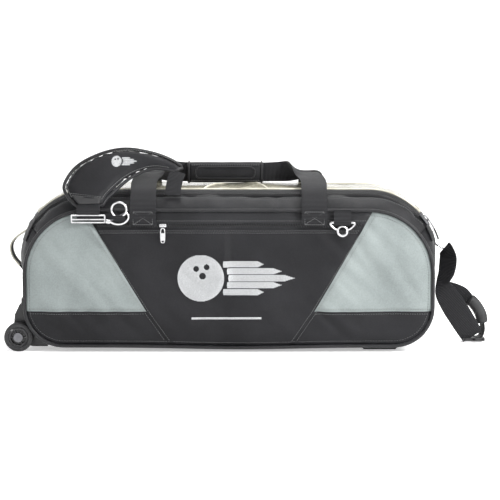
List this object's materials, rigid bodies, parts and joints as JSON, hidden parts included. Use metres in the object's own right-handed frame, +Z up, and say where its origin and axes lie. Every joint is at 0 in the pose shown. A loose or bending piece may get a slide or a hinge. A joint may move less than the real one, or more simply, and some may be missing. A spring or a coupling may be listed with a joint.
{
  "type": "rolling bowling bag",
  "caption": "Wheeled soft bag with padded ball cells, zip lid with clear window, wrapped carry handles, shoulder pad, front pocket and end pull strap.",
  "frame": {"origin": "on the ground under the middle of the whole object's box", "axes": "+X along the bag towards the pull strap, wheels at -X; +Y to the rear; +Z up"},
  "size_m": [0.8556, 0.2818, 0.3535],
  "materials": {
    "nylon": "coated ballistic nylon, soft sheen",
    "piping": "satin bound piping",
    "webbing": "ribbed polypropylene webbing",
    "vinyl": "clear flexible vinyl, slightly yellowed",
    "metal": "nickel-plated",
    "plastic": "fine-grained moulded",
    "rubber": "matt",
    "foam": "brushed tricot over foam"
  },
  "bodies": {
    "bag": {"front_wall": "nylon", "rear_wall": "nylon", "base_panel": "nylon", "wheel_end_panel": "nylon", "pull_end_panel": "nylon", "front_gusset": "nylon", "rear_gusset": "nylon", "front_piping": "piping", "rear_piping": "piping", "main_zip_chain": "plastic", "base_board": "plastic", "left_ball_divider": "foam", "right_ball_divider": "foam", "front_pocket_panel": "nylon", "pocket_zip_chain": "plastic", "front_wheel_bracket": "plastic", "rear_wheel_bracket": "plastic", "front_axle": "metal", "rear_axle": "metal", "front_skid_foot": "rubber", "rear_skid_foot": "rubber", "end_grab_strap": "webbing", "pull_anchor_tab": "webbing", "right_ring_tab": "webbing"},
    "lid": {"lid_frame": "nylon", "lid_window": "vinyl"},
    "front_handle": {"front_handle_webbing": "webbing", "front_handle_grip": "nylon"},
    "rear_handle": {"rear_handle_webbing": "webbing", "rear_handle_grip": "nylon"},
    "shoulder_strap": {"shoulder_pad": "nylon", "strap_webbing": "webbing", "strap_slide_bar": "metal", "strap_hook": "metal", "left_strap_ring": "metal", "strap_tail": "webbing"},
    "right_d_ring": {"right_ring": "metal"},
    "pocket_slider": {"pocket_zip_slider": "metal"},
    "pocket_pull": {"pocket_zip_pull": "metal"},
    "main_slider": {"main_zip_slider": "metal", "main_zip_pull": "metal"},
    "pull_strap": {"pull_ring": "metal", "pull_webbing": "webbing", "pull_grip": "rubber", "pull_return_webbing": "webbing", "pull_slide_buckle": "plastic"},
    "front_wheel": {"front_wheel_tyre": "rubber", "front_wheel_hub": "plastic"},
    "rear_wheel": {"rear_wheel_tyre": "rubber", "rear_wheel_hub": "plastic"}
  },
  "joints": [
    {"name": "lid_hinge", "type": "hinge", "parent": "bag", "child": "lid", "pos_m": [-0.0365, 0.0954, 0.2708], "axis": [-1, 0, 0], "range_deg": [0, 66]},
    {"name": "front_handle_fold", "type": "hinge", "parent": "bag", "child": "front_handle", "pos_m": [-0.0365, -0.137, 0.222], "axis": [1, 0, 0], "range_deg": [0, 165]},
    {"name": "rear_handle_fold", "type": "hinge", "parent": "bag", "child": "rear_handle", "pos_m": [-0.0365, 0.137, 0.222], "axis": [-1, 0, 0], "range_deg": [0, 165]},
    {"name": "shoulder_strap_fold", "type": "hinge", "parent": "bag", "child": "shoulder_strap", "pos_m": [-0.2315, -0.137, 0.222], "axis": [1, 0, 0], "range_deg": [0, 165]},
    {"name": "right_ring_swing", "type": "hinge", "parent": "bag", "child": "right_d_ring", "pos_m": [0.1585, -0.137, 0.225], "axis": [-1, 0, 0], "range_deg": [0, 150]},
    {"name": "pocket_zip_slide", "type": "slide", "parent": "bag", "child": "pocket_slider", "axis": [1, 0, 0], "range_m": [0, 0.226]},
    {"name": "pocket_pull_swing", "type": "hinge", "parent": "pocket_slider", "child": "pocket_pull", "pos_m": [-0.1495, -0.1388, 0.217], "axis": [-1, 0, 0], "range_deg": [0, 150]},
    {"name": "main_zip_run", "type": "hinge", "parent": "bag", "child": "main_slider", "pos_m": [0.20482, -0.0984, 0.15294], "axis": [0, -1, 0], "range_deg": [0, 30]},
    {"name": "pull_strap_swing", "type": "hinge", "parent": "bag", "child": "pull_strap", "pos_m": [0.3313, 0, 0.176], "axis": [0, -1, 0], "range_deg": [0, 110]},
    {"name": "front_wheel_spin", "type": "hinge", "parent": "bag", "child": "front_wheel", "pos_m": [-0.4005, -0.115, 0.025], "axis": [0, 1, 0], "continuous": true},
    {"name": "rear_wheel_spin", "type": "hinge", "parent": "bag", "child": "rear_wheel", "pos_m": [-0.4005, 0.115, 0.025], "axis": [0, 1, 0], "continuous": true}
  ],
  "couplings": [
    {"joint": "front_handle_fold", "follows": "lid_hinge", "ratio": 2.5},
    {"joint": "rear_handle_fold", "follows": "lid_hinge", "ratio": 2.5},
    {"joint": "shoulder_strap_fold", "follows": "lid_hinge", "ratio": 2.5}
  ]
}
